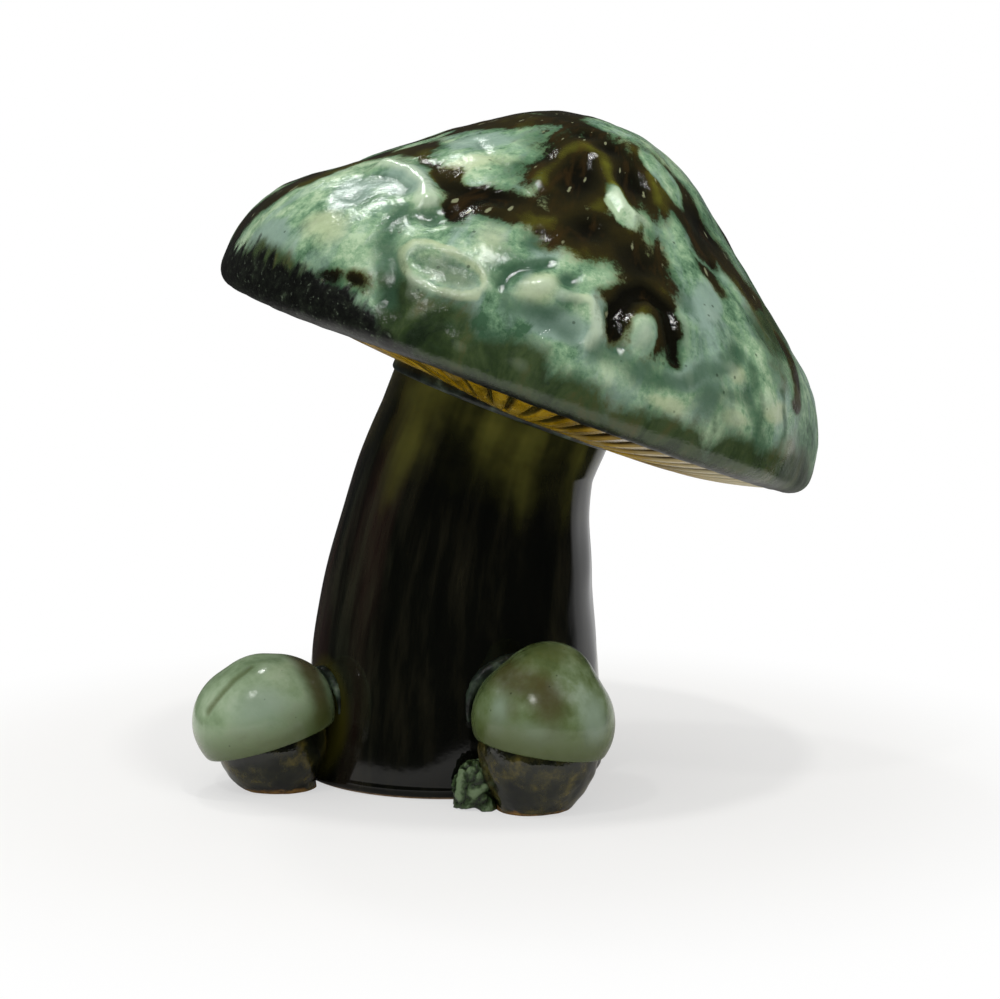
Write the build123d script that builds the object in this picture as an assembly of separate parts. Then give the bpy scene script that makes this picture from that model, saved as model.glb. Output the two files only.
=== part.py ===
from build123d import *
import math
import os

# A glazed ceramic mushroom, in millimetres: it stands on the plane z = 0, with the origin at the
# centre of its foot ring. The stem bends over towards +X and carries a tilted, thumb-pressed cap.
# Two small button mushrooms and a tuft of moss are luted on at the foot.

# Stem: a hollow column, upright at the foot, that bends over to the tilt of the cap
stem_foot_radius = 32.0
stem_waist_radius = 29.8  # where the upright run ends
stem_neck_radius = 23.5
stem_rise = 23.1  # height of the upright run
stem_bend_radius = 125.0
stem_wall = 5.5
foot_round = 1.5
stem_sway = 1.3  # how far the middle of the stem swings out towards +X
neck_length = 8.0  # straight neck below the cap
cap_tilt = 21.0  # degrees

# Cap: a hollow dome of tangent arcs, closed below by the gill disc
cap_radius = 64.0
cap_height = 55.5
cap_crown_radius = 38.0
cap_roll_radius = 27.0  # the turn from flank to rim
cap_roll_height = 2.5  # height of the widest ring
cap_lip_radius = 4.0
cap_lip_land = 0.8  # flat ring between the rounded lip and the gill disc
cap_ledge = 2.2  # shelf that the gill disc rests against
cap_shift = 0.2  # the cap sits this far off the neck, down the slope

# Thumb hollows in the side of the dome that the photo shows, one row for each pressed spot:
# degrees round the dome, share of the way from crown to rim, width, depth
front_hollows = [
    (-108, 0.85, 13.8, 1.6),  # oval dish low in front
    (-116, 0.70, 9.0, 1.4),
    (-119, 0.58, 9.5, 0.9),
    (-110, 0.59, 9.5, 0.9),
    (-112, 0.33, 8.5, 0.9),  # cells of the crown
    (-112, 0.40, 8.5, 0.9),
    (-96, 0.35, 10.5, 1.1),
    (-95, 0.43, 10.5, 1.1),
    (-75, 0.31, 9.0, 1.1),
    (-75, 0.38, 9.0, 1.1),
    (-87, 0.57, 9.5, 1.0),
    (-97, 0.68, 8.8, 1.2),
    (-90, 0.88, 8.4, 1.1),  # dish under the swirl
    (-86, 0.88, 8.4, 1.1),
    (-75, 0.59, 10.5, 0.9),
    (-72, 0.65, 10.5, 0.9),
    (-73, 0.78, 15.0, 1.5),  # round the knob
    (-62, 0.65, 8.4, 1.0),  # right flank
    (-62, 0.71, 8.4, 1.0),
    (-60, 0.79, 9.2, 0.9),
    (-50, 0.75, 11.0, 0.9),
    (-48, 0.86, 8.0, 0.8),
    (-43, 0.40, 13.0, 0.9),
    (-122, 0.81, 6.0, 1.2),  # crease between the left flank and the oval dish
    (-118, 0.87, 6.0, 1.2),
    (-139, 0.74, 11.0, 0.8),  # left flank
]

# Round the rest of the dome the hollows lie in a golden-angle spread
front_arc = (-168.0, -22.0)  # degrees
back_hollow_count = 48  # in the full turn
back_hollow_width = 13.0
back_hollow_depth = 1.3

# Rolls and knobs of clay left standing: degrees, share, width, height
front_swells = [
    (-138, 0.61, 6.6, 1.3),  # rolled hook
    (-131, 0.61, 6.6, 1.3),
    (-124, 0.63, 6.6, 1.3),
    (-119, 0.69, 6.0, 1.2),
    (-92, 0.81, 7.6, 1.0),  # swirl
    (-73, 0.81, 7.4, 1.2),  # knob
]

# Gill disc: a bulged plate with radial grooves, let into the rim of the dome
gill_recess = 0.3  # how far its edge lies inside the lip
gill_drop = 6.0  # from the rim's level down to the land around the neck
gill_bulge = 0.7
gill_land = 2.0  # smooth ring left outside the slip bead
gill_floor = 5.0  # thickness at the centre
gill_count = 72
gill_groove_angle = 1.5  # degrees
gill_groove_depth = 1.2
neck_seat_depth = 1.5
vent_radius = 1.5

# Beads of slip that cover the joints
neck_bead_width = 1.2
neck_bead_height = 2.2
neck_bead_hollow = 0.3  # how far its face is wiped in
button_bead_width = 2.0
button_bead_thickness = 2.4

# Left button mushroom
left_azimuth = 213.0  # degrees round the stem
left_stand_off = 6.3  # from the edge of the stem's foot to the button's own axis
left_lean = 16.0
left_lean_towards = 180.0
left_rim_height = 10.6
left_cap_radius = 14.3
left_cap_height = 16.8
left_crown_radius = 12.0
left_roll_radius = 11.2
left_roll_height = 4.6
left_foot_radius = 6.0
left_stalk_ledge = 2.4  # how far the rim stands out past the stalk's top

# Right button mushroom, taller and more pointed
right_azimuth = 294.0
right_stand_off = 8.2
right_lean = 9.0
right_lean_towards = 10.0
right_rim_height = 12.4
right_cap_radius = 13.8
right_cap_height = 19.8
right_crown_radius = 10.0
right_roll_radius = 11.4
right_roll_height = 4.8
right_foot_radius = 6.5
right_stalk_ledge = 1.0

# Both buttons: the stalk widens upwards like a bowl and holds the cap with a tenon
stalk_belly = 0.8  # how far the stalk's side swells out
tenon_radius = 5.0
tenon_length = 5.0

# Moss tuft between the stem and the right button
moss_step = 14.5  # degrees round the stem from the right button
moss_stand_off = 4.6
moss_lump_count = 3
moss_lump_radius = 3.4
moss_lump_height = 9.5
moss_lump_drop = 1.6  # each lump is this much lower than the last
moss_spread = 1.9

# Clearances
seat_clearance = 0.2  # round the gill disc and the neck
slip_clearance = 0.15  # behind a bead of slip
press_clearance = 0.3  # between the stem and what is pressed against it
tenon_clearance = 0.2

# Sizes that follow from these
cap_rim = cap_lip_radius + cap_lip_land
cap_wall = cap_rim + cap_ledge
lip_level = cap_roll_height - cap_lip_radius
gill_radius = cap_radius - cap_rim - seat_clearance
gill_land_radius = stem_neck_radius + slip_clearance + neck_bead_width + cap_shift + gill_land


def bend_plane(turn):
    """Section plane of the stem where its bend has turned by so many degrees."""
    angle = math.radians(turn)
    origin = (stem_bend_radius * (1 - math.cos(angle)), 0, stem_rise + stem_bend_radius * math.sin(angle))
    return Plane(
        origin=origin,
        x_dir=(math.cos(angle), 0, -math.sin(angle)),
        z_dir=(math.sin(angle), 0, math.cos(angle)),
    )


neck = bend_plane(cap_tilt)
seat = neck.offset(neck_length)  # the underside of the gill disc round the neck
cap_frame = Plane(
    origin=seat.origin + seat.x_dir * cap_shift + seat.z_dir * gill_drop,
    x_dir=seat.x_dir,
    z_dir=seat.z_dir,
)


def stem_body(grow):
    """The stem's outside, thicker all round by grow."""
    middle_radius = (stem_waist_radius + stem_neck_radius) / 2
    swing = Pos(stem_sway, 0, 0)
    sections = [
        Circle(stem_foot_radius + grow),
        swing * (bend_plane(0) * Circle(stem_waist_radius + grow)),
        swing * (bend_plane(cap_tilt / 2) * Circle(middle_radius + grow)),
        neck * Circle(stem_neck_radius + grow),
    ]
    collar = extrude(neck * Circle(stem_neck_radius + grow), neck_length + neck_seat_depth)
    return loft(sections) + collar


def build_stem():
    stem = stem_body(0) - stem_body(-stem_wall)
    foot_edges = stem.edges().group_by(Axis.Z)[0]
    return fillet(foot_edges, foot_round)


def dome_outline(radius, height, crown, roll, roll_height, grow=0.0, below=0.0):
    """Crown arc, straight flank and roll arc, tangent to each other, from the apex outwards.
    The roll arc ends at the widest ring, or runs on below it by a height."""
    across = radius - roll
    down = height - crown - roll_height
    turn = math.degrees(math.atan2(down, across) + math.asin((crown - roll) / math.hypot(across, down)))
    past = math.degrees(math.asin(below / (roll + grow)))
    crown_arc = CenterArc((0, height - crown), crown + grow, 90, -turn)
    roll_arc = CenterArc((across, roll_height), roll + grow, 90 - turn, turn - 90 - past)
    return [crown_arc, Line(crown_arc @ 1, roll_arc @ 0), roll_arc]


def turned(edges):
    """The solid turned about Z from a closed outline of edges, drawn as radius and height."""
    return revolve(Plane.XZ * make_face(edges), Axis.Z)


cap_sizes = (cap_radius, cap_height, cap_crown_radius, cap_roll_radius, cap_roll_height)


def pressing_ball(outline, around, share, width, depth):
    """A ball that presses a round hollow into the dome, or stands out of it where the depth is below zero."""
    ball = (width**2 / 4 + depth**2) / (2 * abs(depth))
    point = outline @ share
    along = outline % share
    lift = math.copysign(ball, depth) - depth
    centre_radius = point.X - along.Y * lift
    centre_height = point.Y + along.X * lift
    side = math.radians(around)
    outwards = Vector(-along.Y * math.cos(side), -along.Y * math.sin(side), along.X)
    centre = (centre_radius * math.cos(side), centre_radius * math.sin(side), centre_height)
    return Plane(origin=centre, x_dir=outwards, z_dir=(-math.sin(side), math.cos(side), 0)) * Sphere(ball)


def back_hollows():
    """Hollows from near the crown to near the rim, each a golden angle on from the last."""
    spots = []
    for step in range(back_hollow_count):
        around = (step * 137.508) % 360 - 180
        share = 0.18 + 0.7 * math.sqrt((step + 0.5) / back_hollow_count)
        if not front_arc[0] < around < front_arc[1]:
            spots.append((around, share, back_hollow_width, back_hollow_depth))
    return spots


def build_cap_dome():
    outside = dome_outline(*cap_sizes)
    inside = dome_outline(*cap_sizes, grow=-cap_wall)
    lip = CenterArc((cap_radius - cap_lip_radius, cap_roll_height), cap_lip_radius, 0, -90)
    dome = turned(outside + [lip, Polyline(lip @ 1, (0, lip_level), outside[0] @ 0)])
    path = Wire(outside)
    dome -= [pressing_ball(path, *spot) for spot in front_hollows + back_hollows()]
    dome += [pressing_ball(path, *spot[:3], -spot[3]) for spot in front_swells]
    rebate = cap_radius - cap_rim
    opening = Polyline(
        inside[-1] @ 1,
        (rebate, cap_roll_height),
        (rebate, lip_level),
        (0, lip_level),
        inside[0] @ 0,
    )
    return cap_frame * (dome - turned(inside + [opening]))


def gill_underside(grow):
    """The bulged underside from rim to land, moved up by grow."""
    start = (gill_radius, lip_level + gill_recess + grow)
    end = (gill_land_radius, grow - gill_drop)
    return SagittaArc(start, end, -gill_bulge)


def build_gill_disc():
    under = gill_underside(0)
    floor_top = gill_floor - gill_drop
    shelf_radius = cap_radius - cap_wall
    rest = Polyline(
        under @ 1,
        (vent_radius, -gill_drop),
        (vent_radius, floor_top),
        (gill_land_radius, floor_top),
        (shelf_radius, cap_roll_height),
        (gill_radius, cap_roll_height),
        under @ 0,
    )
    disc = turned([under, rest])
    neck_hole = Pos(-cap_shift, 0, -gill_drop) * Cylinder(
        stem_neck_radius + seat_clearance, neck_seat_depth, align=(Align.CENTER, Align.CENTER, Align.MIN)
    )
    groove_roof = gill_underside(gill_groove_depth)
    groove_floor = gill_underside(-gill_groove_depth)
    groove_face = make_face(
        [
            groove_roof,
            groove_floor,
            Line(groove_roof @ 0, groove_floor @ 0),
            Line(groove_roof @ 1, groove_floor @ 1),
        ]
    )
    groove = revolve(Plane.XZ * groove_face, Axis.Z, revolution_arc=gill_groove_angle)
    grooves = [Rot(0, 0, 360 * step / gill_count) * groove for step in range(gill_count)]
    return cap_frame * (disc - neck_hole - grooves)


def build_neck_bead():
    inner = stem_neck_radius + slip_clearance
    top = (inner + neck_bead_width, 0)
    foot = (inner, -neck_bead_height)
    face = SagittaArc(top, foot, neck_bead_hollow)
    return seat * turned([face, Polyline(foot, (inner, 0), top)])


def lean_frame(azimuth, stand_off, lean, towards):
    """Frame of a button mushroom: its origin on the ground, its Z axis along the leaning stalk."""
    side = math.radians(azimuth)
    reach = stem_foot_radius + stand_off
    foot = Pos(reach * math.cos(side), reach * math.sin(side), 0)
    return foot * Rot(0, 0, towards) * Rot(0, lean, 0)


def button_dome(frame, rim_height, sizes, grow):
    """The closed outside of a button's cap, bigger by grow, flat at its rim."""
    roll_height = sizes[-1]
    outline = dome_outline(*sizes, grow=grow, below=roll_height)
    rim = outline[-1] @ 1
    closing = Polyline(rim, (0, rim.Y), outline[0] @ 0)
    return frame * Pos(0, 0, rim_height) * turned(outline + [closing])


def rim_radius(sizes):
    radius, height, crown, roll, roll_height = sizes
    return radius - roll + math.sqrt(roll**2 - roll_height**2)


def button_stalk(frame, rim_height, sizes, foot_radius, ledge, lean, grow):
    """The stalk, bigger by grow, with its tenon, cut level with the ground."""
    top = (rim_radius(sizes) - ledge + grow, rim_height)
    low = foot_radius * math.tan(math.radians(lean)) + foot_round
    side = SagittaArc((foot_radius + grow, 0), top, -stalk_belly)
    tenon = tenon_radius + grow
    rest = Polyline(
        top,
        (tenon, rim_height),
        (tenon, rim_height + tenon_length),
        (0, rim_height + tenon_length),
        (0, -low),
        (foot_radius + grow, -low),
        (foot_radius + grow, 0),
    )
    whole = frame * turned([side, rest])
    return split(whole, bisect_by=Plane.XY, keep=Keep.TOP)


def build_button(frame, rim_height, sizes, foot_radius, ledge, lean):
    """Cap, stalk and slip bead of one button mushroom, pressed against the stem."""
    against = stem_body(press_clearance)
    socket_depth = tenon_length + tenon_clearance
    socket = frame * Pos(0, 0, rim_height) * Cylinder(
        tenon_radius + tenon_clearance, socket_depth, align=(Align.CENTER, Align.CENTER, Align.MIN)
    )
    cap = button_dome(frame, rim_height, sizes, 0) - against - socket
    stalk = button_stalk(frame, rim_height, sizes, foot_radius, ledge, lean, 0) - against
    bead = button_dome(frame, rim_height, sizes, button_bead_width) & stem_body(button_bead_thickness)
    bead -= button_dome(frame, rim_height, sizes, slip_clearance)
    bead -= stem_body(slip_clearance)
    return cap, stalk, bead


left_sizes = (left_cap_radius, left_cap_height, left_crown_radius, left_roll_radius, left_roll_height)
right_sizes = (right_cap_radius, right_cap_height, right_crown_radius, right_roll_radius, right_roll_height)
left_frame = lean_frame(left_azimuth, left_stand_off, left_lean, left_lean_towards)
right_frame = lean_frame(right_azimuth, right_stand_off, right_lean, right_lean_towards)


def build_moss():
    """A tuft of rounded lumps on the ground, clear of the stem and the right button."""
    side = math.radians(right_azimuth - moss_step)
    reach = stem_foot_radius + moss_stand_off
    place = Pos(reach * math.cos(side), reach * math.sin(side), 0)
    lumps = []
    for step in range(moss_lump_count):
        height = moss_lump_height - moss_lump_drop * step
        shoulder = height - moss_lump_radius
        top = CenterArc((0, shoulder), moss_lump_radius, 0, 90)
        sides = Polyline((0, height), (0, 0), (moss_lump_radius, 0), (moss_lump_radius, shoulder))
        turn = Rot(0, 0, 360 * step / moss_lump_count)
        lumps.append(turn * Pos(moss_spread, 0, 0) * turned([sides, top]))
    tuft = place * (lumps[0] + lumps[1:])
    tuft -= stem_body(press_clearance)
    tuft -= button_stalk(
        right_frame,
        right_rim_height,
        right_sizes,
        right_foot_radius,
        right_stalk_ledge,
        right_lean,
        press_clearance,
    )
    return tuft - button_dome(right_frame, right_rim_height, right_sizes, button_bead_width + press_clearance)


left_cap, left_stalk, left_bead = build_button(
    left_frame, left_rim_height, left_sizes, left_foot_radius, left_stalk_ledge, left_lean
)
right_cap, right_stalk, right_bead = build_button(
    right_frame, right_rim_height, right_sizes, right_foot_radius, right_stalk_ledge, right_lean
)
nodes = {
    "stem": build_stem(),
    "cap_dome": build_cap_dome(),
    "gill_disc": build_gill_disc(),
    "cap_joint_bead": build_neck_bead(),
    "left_button_cap": left_cap,
    "left_button_stem": left_stalk,
    "left_joint_bead": left_bead,
    "right_button_cap": right_cap,
    "right_button_stem": right_stalk,
    "right_joint_bead": right_bead,
    "moss_tuft": build_moss(),
}

os.makedirs("parts", exist_ok=True)
for name, shape in nodes.items():
    export_step(shape, f"parts/{name}.step")
    print(name, "volume", round(shape.volume), "solids", len(shape.solids()))
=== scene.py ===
import math
import random

import bmesh
import bpy
import numpy as np
from mathutils import Matrix, Vector, noise


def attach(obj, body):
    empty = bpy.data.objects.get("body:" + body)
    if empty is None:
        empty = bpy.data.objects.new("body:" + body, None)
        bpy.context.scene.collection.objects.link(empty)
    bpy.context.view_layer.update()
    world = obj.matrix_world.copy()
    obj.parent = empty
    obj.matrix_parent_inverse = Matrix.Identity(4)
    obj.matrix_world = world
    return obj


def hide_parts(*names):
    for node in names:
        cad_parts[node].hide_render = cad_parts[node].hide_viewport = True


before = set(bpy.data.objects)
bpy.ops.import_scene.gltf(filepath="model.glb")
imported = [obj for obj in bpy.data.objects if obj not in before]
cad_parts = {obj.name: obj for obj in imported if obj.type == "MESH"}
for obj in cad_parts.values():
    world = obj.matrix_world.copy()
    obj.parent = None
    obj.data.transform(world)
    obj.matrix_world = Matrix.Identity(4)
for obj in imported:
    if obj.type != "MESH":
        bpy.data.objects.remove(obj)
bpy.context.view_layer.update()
mm = 0.001
scene = bpy.context.scene
print("frame loaded, CAD nodes:", len(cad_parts))

# lie of the whole figure, in millimetres and degrees
figure = {
    "tilt": 21.0,  # the neck and the cap lean this far towards +X
    "rise": 23.1,  # upright run of the stem
    "bend": 125.0,  # radius of the stem's bend
    "sway": 1.5,  # the middle of the stem swings out towards +X
    "neck": 8.0,  # straight neck under the cap
    "shift": 0.2,  # the cap sits off the neck, down the slope
    "drop": 6.0,  # from the cap's own zero level down to the neck's seat
}
tilt = math.radians(figure["tilt"])
bendRun = figure["bend"] * tilt
seatRun = figure["rise"] + bendRun + figure["neck"]


def swing(run):
    share = min(max(run / (figure["rise"] + bendRun), 0), 1)
    return figure["sway"] * math.sin(math.pi * share)


# where a point of the straight column goes when the stem is bent, all in millimetres
def bentPoint(x, y, run):
    past = run - figure["rise"]
    if past <= 0:
        return Vector((x + swing(run), y, run))
    turn = min(past / figure["bend"], tilt)
    ahead = max(past - bendRun, 0)
    reach = figure["bend"] * (1 - math.cos(turn)) + ahead * math.sin(turn)
    rise = figure["rise"] + figure["bend"] * math.sin(turn) + ahead * math.cos(turn)
    return Vector((reach + swing(run) + x * math.cos(turn), y, rise - x * math.sin(turn)))


# the other way: the place in the straight column of a point below the neck
def straightPoint(p):
    x = p[0] - swing(p[2])
    if p[2] <= figure["rise"]:
        return Vector((x, p[1], p[2]))
    up, back = p[2] - figure["rise"], figure["bend"] - x
    run = figure["rise"] + figure["bend"] * math.atan2(up, back)
    return Vector((figure["bend"] - math.hypot(up, back), p[1], run))


capCentre = bentPoint(figure["shift"], 0, seatRun + figure["drop"])
capPlace = Matrix.Translation(capCentre * mm) @ Matrix.Rotation(tilt, 4, "Y")


# swatch colour as written, to the linear values that the shader wants
def hexColour(text):
    parts = [int(text[k:k + 2], 16) / 255 for k in (0, 2, 4)]
    return (*[c / 12.92 if c <= 0.04045 else ((c + 0.055) / 1.055) ** 2.4 for c in parts], 1.0)


# texture scale for marks that are this many millimetres across
def markScale(size):
    return 1 / (size * mm)


# links the sockets and sets the plain values among a node's inputs
def setInputs(tree, node, inputs):
    for key, value in inputs.items():
        if isinstance(value, bpy.types.NodeSocket):
            tree.links.new(value, node.inputs[key])
        else:
            node.inputs[key].default_value = value


# adds one node with its settings, inputs and colour stops, and gives back the output asked for
def addNode(tree, kind, inputs=None, stops=None, out=0, **settings):
    node = tree.nodes.new("ShaderNode" + kind)
    for name, value in settings.items():
        setattr(node, name, value)
    setInputs(tree, node, inputs or {})
    if stops:
        ramp = node.color_ramp.elements
        while len(ramp) < len(stops):
            ramp.new(0.5)
        for element, (place, colour) in zip(ramp, stops):
            element.position = place
            element.color = hexColour(colour)
    return node.outputs[out]


# starts a material with what it reads: the piece's own coordinates, the marks on its vertices, and noise
# patterns that are given as (coordinates, size in millimetres, detail, roughness, distortion)
def newMaterial(name, marks=(), patterns=None):
    material = bpy.data.materials.new(name)
    material.use_nodes = True
    tree = material.node_tree
    read = {"spot": addNode(tree, "TexCoord", out="Object")}
    for key in marks:
        out = "Vector" if key == "flow" else "Fac"
        read[key] = addNode(tree, "Attribute", out=out, attribute_name=key)
    for key, (place, size, detail, rough, bend) in (patterns or {}).items():
        read[key] = addNode(tree, "TexNoise", {
            "Vector": read[place], "Scale": markScale(size),
            "Detail": detail, "Roughness": rough, "Distortion": bend})
    return material, tree, read


# ends a material with its colour, its roughness and a fine relief of (height, strength, depth in millimetres)
def finishMaterial(material, colour, rough, relief, glass=1.5, shine=0.5):
    tree = material.node_tree
    height, strength, depth = relief
    bump = addNode(tree, "Bump", {"Height": height, "Strength": strength, "Distance": depth * mm})
    setInputs(tree, tree.nodes["Principled BSDF"], {
        "Base Color": colour, "Roughness": rough, "Normal": bump, "IOR": glass, "Specular IOR Level": shine})
    return material


# a socket with weighted others added to it
def addUp(tree, base, *parts):
    for part, weight in parts:
        base = addNode(tree, "Math", {0: part, 1: weight, 2: base}, operation="MULTIPLY_ADD")
    return base


# lays tints over a colour, each as far as its share goes: a share is a socket, or (source, low, high,
# most) where the tint comes in as the source goes from low to high
def layTints(tree, colour, layers, **settings):
    for share, tint in layers:
        if isinstance(share, tuple):
            source, low, high, most = share
            share = addNode(tree, "MapRange", {0: source, 1: low, 2: high, 4: most}, **settings)
        if isinstance(tint, str):
            tint = hexColour(tint)
        colour = addNode(tree, "Mix", {0: share, 6: colour, 7: tint}, out=2, data_type="RGBA")
    return colour


# eased ends for a range
soft = {"interpolation_type": "SMOOTHSTEP"}


def smoothStep(low, high, value):
    t = np.clip((value - low) / (high - low), 0, 1)
    return t * t * (3 - 2 * t)


# soft rolling noise at a list of points, for marks of this size in millimetres
def rollNoise(points, size, shift=0.0):
    away = Vector((shift, shift * 0.7, -shift))
    return np.array([noise.noise(Vector(p) / size + away) for p in points])


# rolling noise in layers, each (height, size, shift)
def rollLayers(points, layers):
    return sum(height * rollNoise(points, size, shift) for height, size, shift in layers)


# the same points pushed about a little, so that marks measured on them lose their neat outlines
def wander(points, size, reach):
    shifts = (4.0, 9.0, 16.0)
    return points + reach * np.stack([rollNoise(points, size, shift) for shift in shifts], axis=1)


# points at this distance from Z, turn round it and height
def columnPoints(radius, side, height):
    return np.stack([radius * np.cos(side), radius * np.sin(side), height], axis=1)


# turns an outline of (radius, height) in millimetres about Z: one slice is spun, then the slice is
# spun on as copies and the seams are merged, because one long spin is slow
def spinOutline(outline, steps, closed=False, slices=16):
    bm = bmesh.new()
    verts = [bm.verts.new((r * mm, 0, z * mm)) for r, z in outline]
    edges = [bm.edges.new(pair) for pair in zip(verts, verts[1:])]
    if closed:
        edges.append(bm.edges.new((verts[-1], verts[0])))
    wedge = 2 * math.pi / slices
    axis = (0, 0, 1)
    bmesh.ops.spin(bm, geom=verts + edges, axis=axis, angle=wedge, steps=steps // slices)
    whole = bm.verts[:] + bm.edges[:] + bm.faces[:]
    rest = 2 * math.pi - wedge
    bmesh.ops.spin(bm, geom=whole, axis=axis, angle=rest, steps=slices - 1, use_duplicate=True)
    bmesh.ops.remove_doubles(bm, verts=bm.verts, dist=1e-6)
    bmesh.ops.recalc_face_normals(bm, faces=bm.faces)
    bm.normal_update()
    bm.verts.index_update()
    return bm


def arcPoints(centre, radius, first, last, count):
    angles = np.radians(np.linspace(first, last, count))
    return [(centre[0] + radius * math.cos(a), centre[1] + radius * math.sin(a)) for a in angles]


def vertPoints(bm):
    return np.array([v.co[:] for v in bm.verts]) / mm


# places and normals of a piece's points, with their distance from Z and their turn round it
def measure(bm):
    points, normals = vertPoints(bm), np.array([v.normal[:] for v in bm.verts])
    return points, normals, np.hypot(points[:, 0], points[:, 1]), np.arctan2(points[:, 1], points[:, 0])


def moveVerts(bm, points):
    for v, p in zip(bm.verts, points):
        v.co = Vector(p) * mm


# puts data into the scene as an object
def addObject(name, data):
    thing = bpy.data.objects.new(name, data)
    scene.collection.objects.link(thing)
    return thing


# finishes a bmesh as a piece of the part, standing for its CAD node
def finishPiece(bm, name, node, material, marks=None):
    bmesh.ops.recalc_face_normals(bm, faces=bm.faces)
    mesh = bpy.data.meshes.new(name)
    bm.to_mesh(mesh)
    bm.free()
    mesh.polygons.foreach_set("use_smooth", [True] * len(mesh.polygons))
    for key, values in (marks or {}).items():
        values = np.asarray(values, dtype=np.float32)
        kind, field = ("FLOAT", "value") if values.ndim == 1 else ("FLOAT_VECTOR", "vector")
        mesh.attributes.new(key, kind, "POINT").data.foreach_set(field, values.ravel())
    mesh.materials.append(material)
    piece = addObject(name, mesh)
    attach(piece, "root")
    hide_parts(node)
    print(name, "has", len(mesh.polygons), "faces")


# half outline of a dome: crown arc, straight flank and roll arc, the last one on past its widest ring
def domeOutline(s, grow=0.0, below=0.0, counts=(34, 50, 40)):
    across = s["radius"] - s["roll"]
    fall = s["height"] - s["crown"] - s["rollHeight"]
    lean = math.asin((s["crown"] - s["roll"]) / math.hypot(across, fall))
    turn = math.degrees(math.atan2(fall, across) + lean)
    past = math.degrees(math.asin(below / (s["roll"] + grow)))
    crown = arcPoints((0, s["height"] - s["crown"]), s["crown"] + grow, 90, 90 - turn, counts[0])
    roll = arcPoints((across, s["rollHeight"]), s["roll"] + grow, 90 - turn, -past, counts[2])
    ends = np.array([crown[-1], roll[0]])
    flank = [tuple(ends[0] * (1 - t) + ends[1] * t) for t in np.linspace(0, 1, counts[1] + 2)[1:-1]]
    crown[0] = (0.0, s["height"] + grow)
    return crown + flank + roll


def outlineRuns(outline):
    steps = np.hypot(*np.diff(np.array(outline), axis=0).T)
    return np.concatenate([[0], np.cumsum(steps)])


# run from the apex of the outline's nearest point, for each point of the piece
def nearestRuns(points, outline):
    line = np.array(outline)
    radial = np.hypot(points[:, 0], points[:, 1])
    gap = (radial[:, None] - line[None, :, 0]) ** 2 + (points[:, 2][:, None] - line[None, :, 1]) ** 2
    return outlineRuns(outline)[np.argmin(gap, axis=1)]


# how far each point lies from a mark (around, run, half, narrow half, turn), as a share of its half sizes
def markReach(points, outline, mark, step=0.4, thick=4.0):
    around, run, half, narrow, turn = mark[:5]
    line, runs = np.array(outline), outlineRuns(outline)
    near = [np.array([np.interp(run + d, runs, line[:, k]) for k in (0, 1)]) for d in (-step, 0, step)]
    slope = (near[2] - near[0]) / np.hypot(*(near[2] - near[0]))
    c, s = math.cos(math.radians(around)), math.sin(math.radians(around))
    rel = points - np.array([near[1][0] * c, near[1][0] * s, near[1][1]])
    u = rel @ np.array([-s, c, 0])  # sideways on the surface
    v = rel @ np.array([slope[0] * c, slope[0] * s, slope[1]])  # down the slope
    off = rel @ np.array([-slope[1] * c, -slope[1] * s, slope[0]])  # above or below the surface
    c2, s2 = math.cos(math.radians(turn)), math.sin(math.radians(turn))
    flat = np.hypot((u * c2 + v * s2) / half, (v * c2 - u * s2) / narrow)
    return np.hypot(flat, off / max(narrow, thick))


# how far each point lies from a line of (around, run) spots on the outline, in millimetres
def lineReach(points, outline, spots, fineness=5):
    line, runs = np.array(outline), outlineRuns(outline)
    steps = np.linspace(0, len(spots) - 1, fineness * len(spots))
    around = np.radians(np.interp(steps, range(len(spots)), [spot[0] for spot in spots]))
    run = np.interp(steps, range(len(spots)), [spot[1] for spot in spots])
    radius, height = [np.interp(run, runs, line[:, k]) for k in (0, 1)]
    trail = columnPoints(radius, around, height)
    return np.min([np.linalg.norm(points - spot, axis=1) for spot in trail], axis=0)


# height change from thumb presses, which sink or swell, and from ridges and grooves along lines
def pressHeights(points, outline, presses, ridges=(), sharp=1.3):
    height = np.zeros(len(points))
    for mark in presses:
        height -= mark[5] * np.exp(-sharp * markReach(points, outline, mark) ** 2)
    for width, rise, spots in ridges:
        height += rise * np.exp(-(lineReach(points, outline, spots) / width) ** 2)
    return height


# how far each point lies below its neighbours, smoothed: above 0 in creases and below 0 on crests
def creaseField(bm, height, rounds):
    pairs = np.array([[v.index for v in e.verts] for e in bm.edges])
    both = np.concatenate([pairs, pairs[:, ::-1]])
    count = np.bincount(both[:, 0], minlength=len(height))
    smooth = height
    for _ in range(rounds):
        smooth = np.bincount(both[:, 0], weights=smooth[both[:, 1]], minlength=len(height)) / count
    return smooth - height


# where a colour lies: about 0.3 at the edges of its marks and more inside; a weight below 0 wipes it off
def tintField(points, outline, marks, runs=(), edge=1.3, level=0.3, wipe=1.6):
    field = np.full(len(points), -1.0)
    for width, weight, spots in runs:
        reach = np.clip(edge - lineReach(points, outline, spots) / width, -1.0, 1.0)
        field = np.maximum(field, np.where(reach > 0, reach * weight, reach))
    for mark in marks:
        reach = np.clip(edge - markReach(points, outline, mark), -1.0, 1.0)
        if mark[5] > 0:
            field = np.maximum(field, np.where(reach > 0, reach * mark[5], reach))
        else:
            field = np.minimum(field, level - reach * wipe)
    return field


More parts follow.
